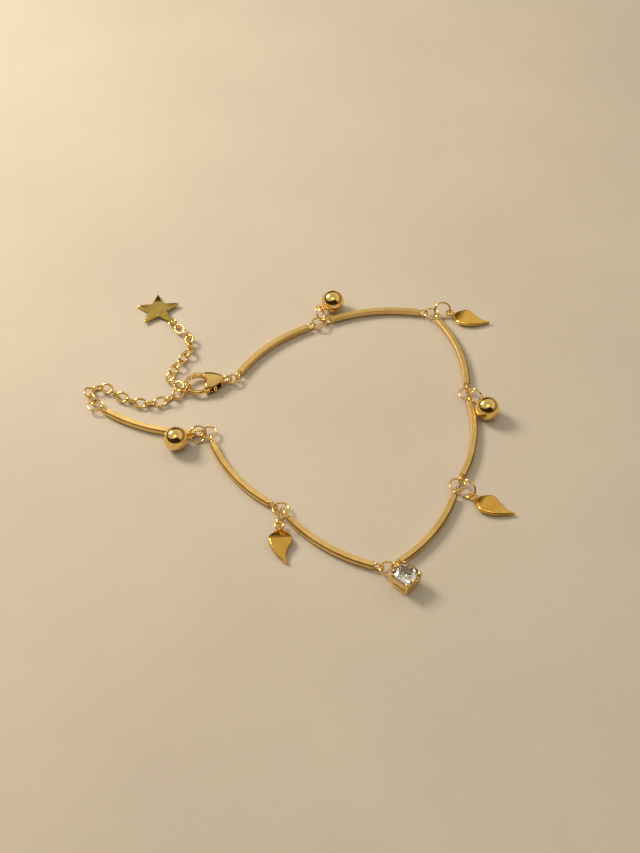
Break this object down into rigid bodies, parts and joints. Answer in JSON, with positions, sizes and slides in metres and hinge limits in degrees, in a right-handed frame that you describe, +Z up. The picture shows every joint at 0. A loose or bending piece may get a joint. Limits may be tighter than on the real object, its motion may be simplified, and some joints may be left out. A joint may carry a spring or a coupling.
{
  "type": "charm bracelet",
  "caption": "Gold charm bracelet of curved square bars joined by jump rings, with ball, leaf and crystal charms, a sprung lobster clasp and an extender chain ending in a star.",
  "frame": {"origin": "middle of the bracelet's box, on the floor that it lies on", "axes": "+Z up, +X to the viewer's right, +Y away from the viewer"},
  "size_m": [0.0704, 0.0662, 0.004],
  "materials": {
    "satin_gold": "satin gold plate with fine cross lines",
    "polished_gold": "polished gold plate",
    "charm_gold": "softly polished gold plate",
    "clear_stone": "clear cut stone"
  },
  "bodies": {
    "bracelet": {"ball_charm_1": "polished_gold", "ball_charm_2": "polished_gold", "ball_charm_3": "polished_gold", "ball_ring_1": "polished_gold", "ball_ring_2": "polished_gold", "ball_ring_3": "polished_gold", "bar_1": "satin_gold", "bar_2": "satin_gold", "bar_3": "satin_gold", "bar_4": "satin_gold", "bar_5": "satin_gold", "bar_6": "satin_gold", "bar_7": "satin_gold", "bar_8": "satin_gold", "clasp_body": "polished_gold", "clasp_pin": "polished_gold", "clasp_ring": "polished_gold", "crystal_setting": "polished_gold", "crystal_stone": "clear_stone", "extender_chain": "polished_gold", "extender_ring": "polished_gold", "leaf_charm_1": "charm_gold", "leaf_charm_2": "charm_gold", "leaf_charm_3": "charm_gold", "leaf_ring_1": "polished_gold", "leaf_ring_2": "polished_gold", "leaf_ring_3": "polished_gold", "link_ring_1": "polished_gold", "link_ring_2": "polished_gold", "link_ring_3": "polished_gold", "link_ring_4": "polished_gold", "link_ring_5": "polished_gold", "link_ring_6": "polished_gold", "link_ring_7": "polished_gold", "star_charm": "charm_gold", "star_ring": "polished_gold"},
    "lever": {"clasp_lever": "polished_gold"}
  },
  "joints": [
    {"name": "clasp_lever_hinge", "type": "hinge", "parent": "bracelet", "child": "lever", "pos_m": [-0.01426, 0.01137, 0.00105], "axis": [0, 0, 1], "range_deg": [0, 20], "stiffness_Nm_per_rad": 0.001}
  ]
}
